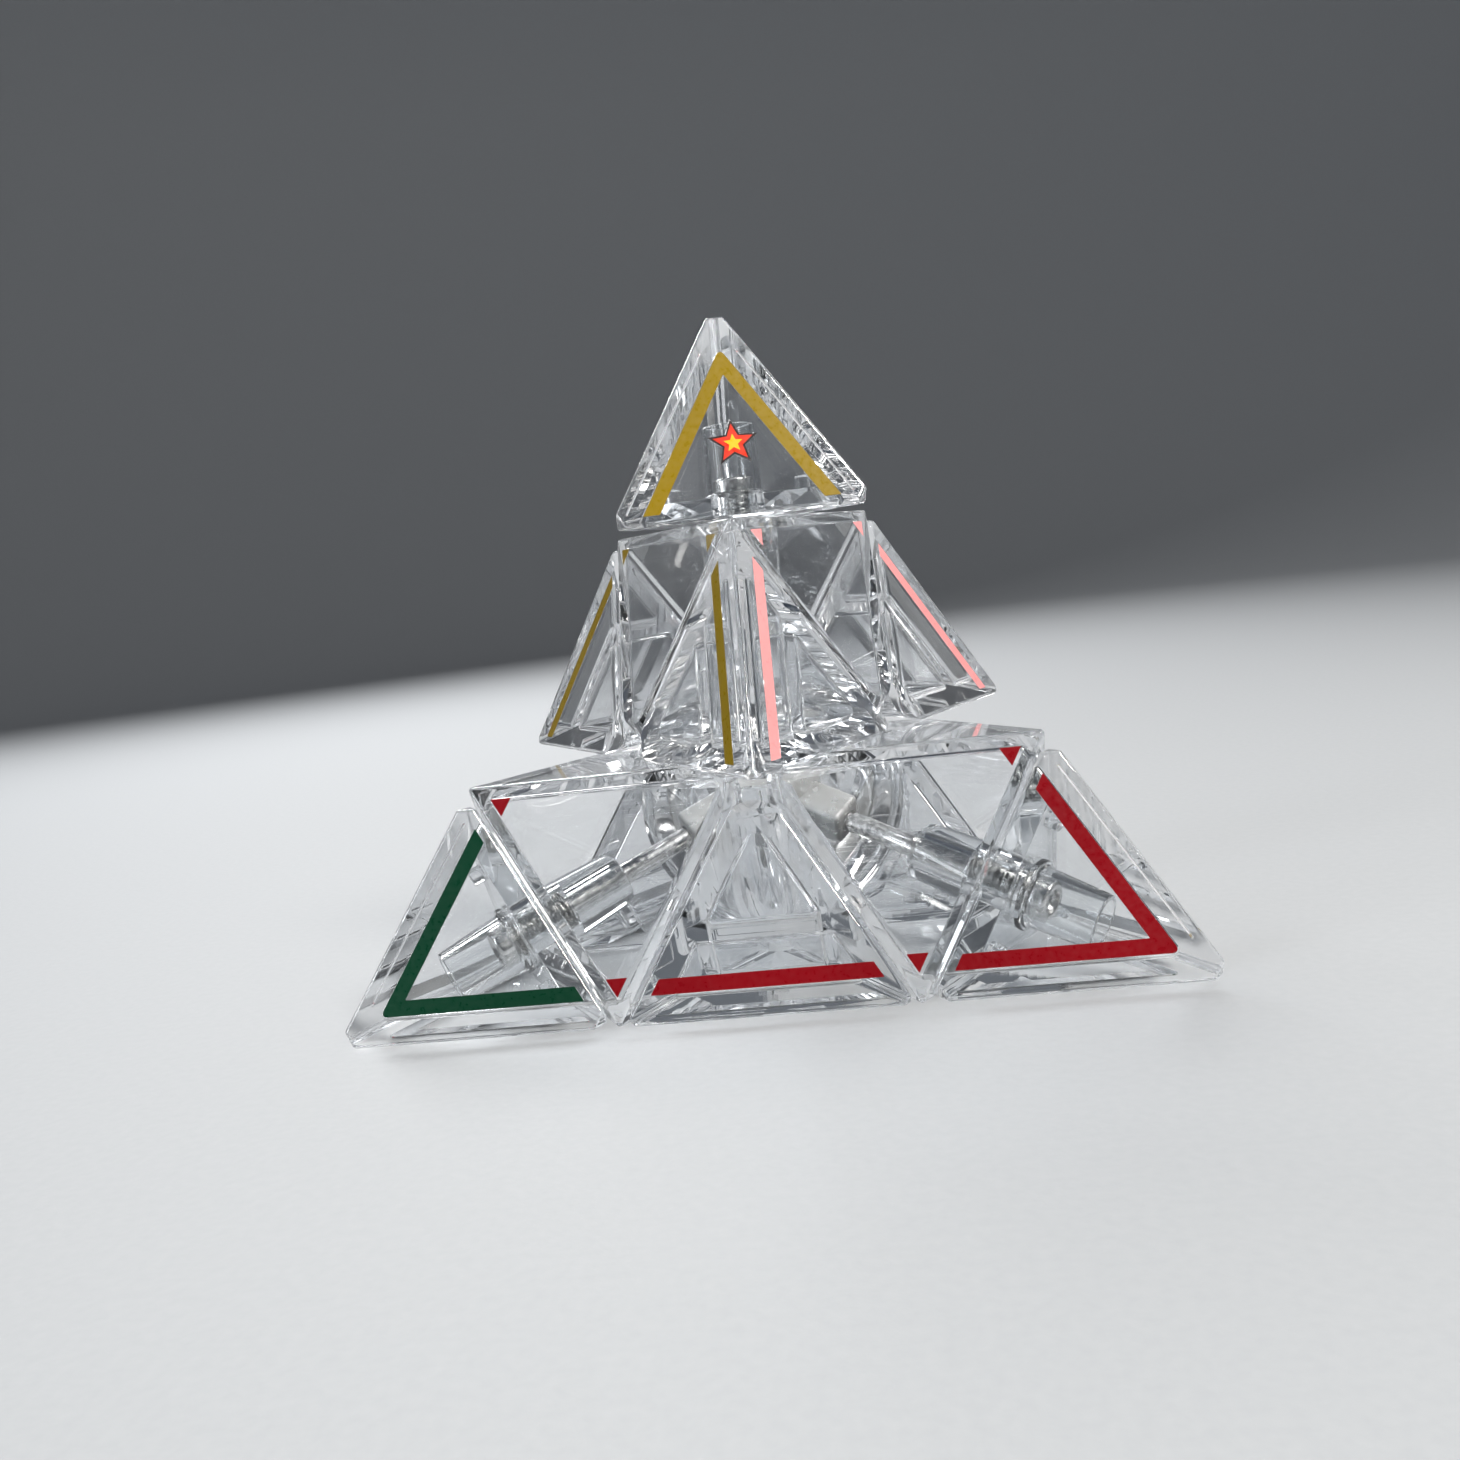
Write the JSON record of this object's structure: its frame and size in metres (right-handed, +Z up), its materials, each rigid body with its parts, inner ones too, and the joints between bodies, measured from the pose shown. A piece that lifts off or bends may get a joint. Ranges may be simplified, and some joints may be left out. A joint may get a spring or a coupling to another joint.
{
  "type": "pyramid twisty puzzle",
  "caption": "Clear pyramid twisty puzzle with one layer and its tips turned; hollow pieces with coloured edge strips turn on sprung screws around a central core.",
  "frame": {"origin": "centre of the core, where the axes of all the layers and tips meet", "axes": "+Z up along the top corner's axis, square to the base face; -Y towards the front face; +X to the right"},
  "size_m": [0.095, 0.0911, 0.0777],
  "materials": {
    "clear_shell": "transparent moulded plastic, polished",
    "clear_insert": "transparent moulded plastic, polished",
    "core_plastic": "translucent pale moulded plastic, satin",
    "spring_steel": "drawn steel wire",
    "screw_steel": "zinc-plated steel",
    "film_red": "gloss colour film",
    "film_yellow": "gloss colour film",
    "film_pink": "gloss colour film",
    "film_green": "gloss colour film",
    "emblem_print": "printed star"
  },
  "bodies": {
    "base": {"core": "core_plastic", "corner_screws": "screw_steel", "left_axial_shell": "clear_shell", "left_axial_cap": "clear_insert", "left_spring": "spring_steel", "left_post": "clear_insert", "right_axial_shell": "clear_shell", "right_axial_cap": "clear_insert", "right_spring": "spring_steel", "right_post": "clear_insert", "back_axial_shell": "clear_shell", "back_axial_cap": "clear_insert", "back_spring": "spring_steel", "back_post": "clear_insert", "lower_front_edge_shell": "clear_shell", "lower_front_edge_foot": "clear_insert", "lower_right_edge_shell": "clear_shell", "lower_right_edge_foot": "clear_insert", "lower_left_edge_shell": "clear_shell", "lower_left_edge_foot": "clear_insert", "base_red_strips": "film_red", "base_yellow_strips": "film_yellow", "base_pink_strips": "film_pink", "base_green_strips": "film_green"},
    "top_layer": {"top_axial_shell": "clear_shell", "top_axial_cap": "clear_insert", "top_spring": "spring_steel", "top_post": "clear_insert", "upper_right_edge_shell": "clear_shell", "upper_right_edge_foot": "clear_insert", "upper_left_edge_shell": "clear_shell", "upper_left_edge_foot": "clear_insert", "upper_front_edge_shell": "clear_shell", "upper_front_edge_foot": "clear_insert", "top_layer_red_strips": "film_red", "top_layer_yellow_strips": "film_yellow", "top_layer_pink_strips": "film_pink"},
    "top_tip": {"top_tip_shell": "clear_shell", "top_tip_plate": "clear_insert", "top_tip_red_strips": "film_red", "top_tip_yellow_strips": "film_yellow", "top_tip_pink_strips": "film_pink", "top_tip_emblem": "emblem_print"},
    "left_tip": {"left_tip_shell": "clear_shell", "left_tip_plate": "clear_insert", "left_tip_pink_strips": "film_pink", "left_tip_green_strips": "film_green", "left_tip_red_strips": "film_red"},
    "right_tip": {"right_tip_shell": "clear_shell", "right_tip_plate": "clear_insert", "right_tip_yellow_strips": "film_yellow", "right_tip_red_strips": "film_red", "right_tip_green_strips": "film_green"},
    "back_tip": {"back_tip_shell": "clear_shell", "back_tip_plate": "clear_insert", "back_tip_green_strips": "film_green", "back_tip_pink_strips": "film_pink", "back_tip_yellow_strips": "film_yellow"}
  },
  "joints": [
    {"name": "top_layer_turn", "type": "hinge", "parent": "base", "child": "top_layer", "pos_m": [0, 0, 0], "axis": [0, 0, 1], "continuous": true},
    {"name": "top_tip_turn", "type": "hinge", "parent": "top_layer", "child": "top_tip", "pos_m": [0, 0, 0], "axis": [0, 0, 1], "continuous": true},
    {"name": "left_tip_turn", "type": "hinge", "parent": "base", "child": "left_tip", "pos_m": [0, 0, 0], "axis": [-0.8165, -0.4714, -0.3333], "continuous": true},
    {"name": "right_tip_turn", "type": "hinge", "parent": "base", "child": "right_tip", "pos_m": [0, 0, 0], "axis": [0.8165, -0.4714, -0.3333], "continuous": true},
    {"name": "back_tip_turn", "type": "hinge", "parent": "base", "child": "back_tip", "pos_m": [0, 0, 0], "axis": [0, 0.9428, -0.3333], "continuous": true}
  ]
}
